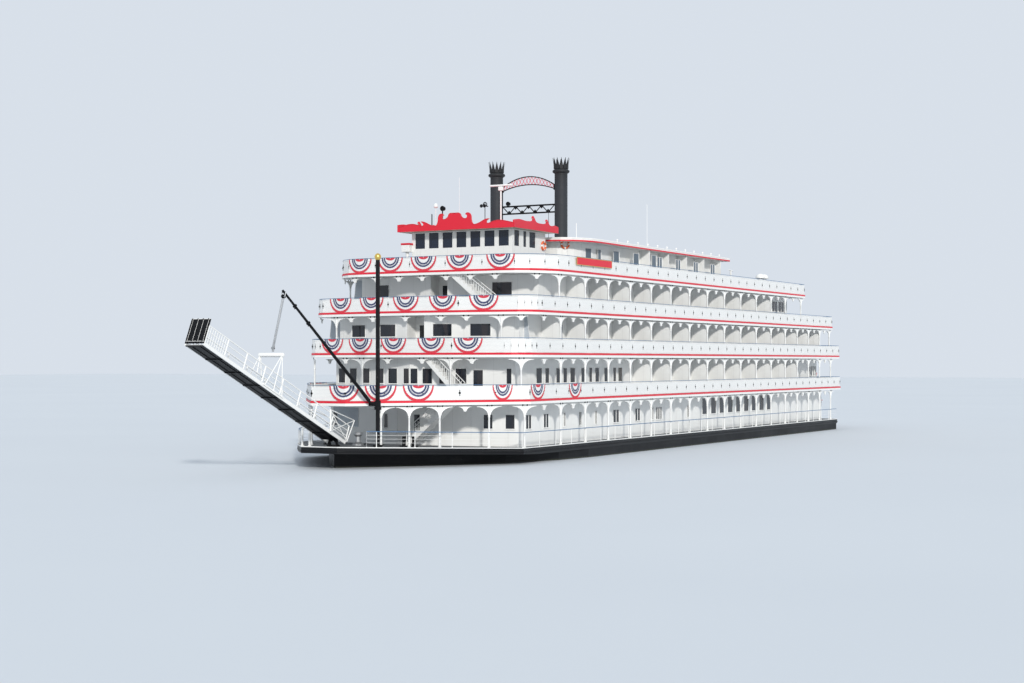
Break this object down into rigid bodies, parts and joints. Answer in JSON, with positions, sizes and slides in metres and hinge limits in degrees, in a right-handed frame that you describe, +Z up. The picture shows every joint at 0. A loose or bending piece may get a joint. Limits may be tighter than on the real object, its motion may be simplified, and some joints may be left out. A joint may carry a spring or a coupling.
{
  "type": "sternwheel paddle boat, 1:10 scale model",
  "caption": "Long flat-bottomed river boat with stacked galleried decks, chimneys, pilothouse, mast and boom, swinging bow stage and a stern paddle wheel.",
  "frame": {"origin": "on the flat bottom of the hull, on the centreline amidships", "axes": "+X towards the bow, +Y to port, +Z up"},
  "size_m": [10.0352, 1.9192, 2.5404],
  "materials": {
    "hull_black": "satin black hull paint",
    "deck_grey": "matt grey deck paint",
    "white_paint": "satin white paint",
    "red_paint": "satin red paint",
    "charcoal_paint": "matt charcoal paint",
    "fitting_black": "satin black paint",
    "bare_steel": "dull galvanised steel",
    "wheel_red": "satin red paint",
    "beam_grey": "matt grey paint"
  },
  "bodies": {
    "boat": {"hull": "hull_black", "main_deck": "hull_black", "main_deck_fore": "hull_black", "deck_2": "deck_grey", "deck_3": "deck_grey", "deck_4": "deck_grey", "deck_5": "deck_grey", "rail_main_port": "white_paint", "rail_main_starboard": "white_paint", "rail_deck_2": "white_paint", "rail_deck_3": "white_paint", "rail_deck_3_front": "white_paint", "rail_deck_4": "white_paint", "rail_deck_4_front": "white_paint", "rail_deck_5": "white_paint", "house_main": "white_paint", "house_2": "white_paint", "house_3": "white_paint", "house_4": "white_paint", "top_house": "white_paint", "top_roof": "white_paint", "colonnade_main_port": "white_paint", "colonnade_main_starboard": "white_paint", "colonnade_2_port": "white_paint", "colonnade_2_starboard": "white_paint", "colonnade_3_port": "white_paint", "colonnade_3_starboard": "white_paint", "colonnade_4_port": "white_paint", "colonnade_4_starboard": "white_paint", "partitions_2_port": "white_paint", "partitions_2_starboard": "white_paint", "partitions_3_port": "white_paint", "partitions_3_starboard": "white_paint", "partitions_4_port": "white_paint", "partitions_4_starboard": "white_paint", "stair_main": "white_paint", "stair_2": "white_paint", "stair_4": "white_paint", "pilothouse": "white_paint", "pilothouse_roof": "red_paint", "chimney_port": "charcoal_paint", "chimney_starboard": "charcoal_paint", "chimney_arch": "red_paint", "chimney_truss": "charcoal_paint", "bitts_port": "fitting_black", "bitts_starboard": "fitting_black", "capstan": "bare_steel", "mast": "fitting_black", "wheel_beam_port": "beam_grey", "wheel_beam_starboard": "beam_grey"},
    "collar": {"boom_collar": "fitting_black"},
    "boom": {"boom": "fitting_black"},
    "hoist": {"hoist_wire": "bare_steel"},
    "turntable": {"stage_turntable": "fitting_black"},
    "stage": {"stage": "white_paint", "stage_portal": "white_paint"},
    "flap": {"stage_flap": "fitting_black"},
    "wheel": {"paddle_wheel": "wheel_red"},
    "rudder_port": {"rudder_port": "fitting_black"},
    "rudder_starboard": {"rudder_starboard": "fitting_black"}
  },
  "joints": [
    {"name": "boom_swing", "type": "hinge", "parent": "boat", "child": "collar", "pos_m": [3.65, 0.295, 0.63], "axis": [0, 0, 1], "range_deg": [-15, 40]},
    {"name": "boom_luff", "type": "hinge", "parent": "collar", "child": "boom", "pos_m": [3.6965, 0.27661, 0.63], "axis": [-0.3678, -0.9299, 0], "range_deg": [-21, 5]},
    {"name": "hoist_hang", "type": "hinge", "parent": "boom", "child": "hoist", "pos_m": [4.32, 0.03, 1.35], "axis": [-0.3678, -0.9299, 0], "range_deg": [-4, 14]},
    {"name": "stage_swing", "type": "hinge", "parent": "boat", "child": "turntable", "pos_m": [3.74, 0, 0.34], "axis": [0, 0, 1], "range_deg": [-16.5, 43.5]},
    {"name": "stage_raise", "type": "hinge", "parent": "turntable", "child": "stage", "pos_m": [3.74, 0, 0.388], "axis": [0, -1, 0], "range_deg": [-24, 6]},
    {"name": "stage_flap", "type": "hinge", "parent": "stage", "child": "flap", "pos_m": [5.14944, 0, 1.0199], "axis": [0, 1, 0], "range_deg": [0, 110]},
    {"name": "wheel_turn", "type": "hinge", "parent": "boat", "child": "wheel", "pos_m": [-4.52, 0, 0.47], "axis": [0, 1, 0], "continuous": true},
    {"name": "rudder_port", "type": "hinge", "parent": "boat", "child": "rudder_port", "pos_m": [-4.085, 0.32, 0.2], "axis": [0, 0, 1], "range_deg": [-35, 35]},
    {"name": "rudder_starboard", "type": "hinge", "parent": "boat", "child": "rudder_starboard", "pos_m": [-4.085, -0.32, 0.2], "axis": [0, 0, 1], "range_deg": [-35, 35]}
  ],
  "couplings": [
    {"joint": "stage_swing", "follows": "boom_swing", "ratio": 1.08},
    {"joint": "stage_raise", "follows": "boom_luff", "ratio": 1.14},
    {"joint": "hoist_hang", "follows": "boom_luff", "ratio": -0.66},
    {"joint": "rudder_starboard", "follows": "rudder_port", "ratio": 1}
  ]
}
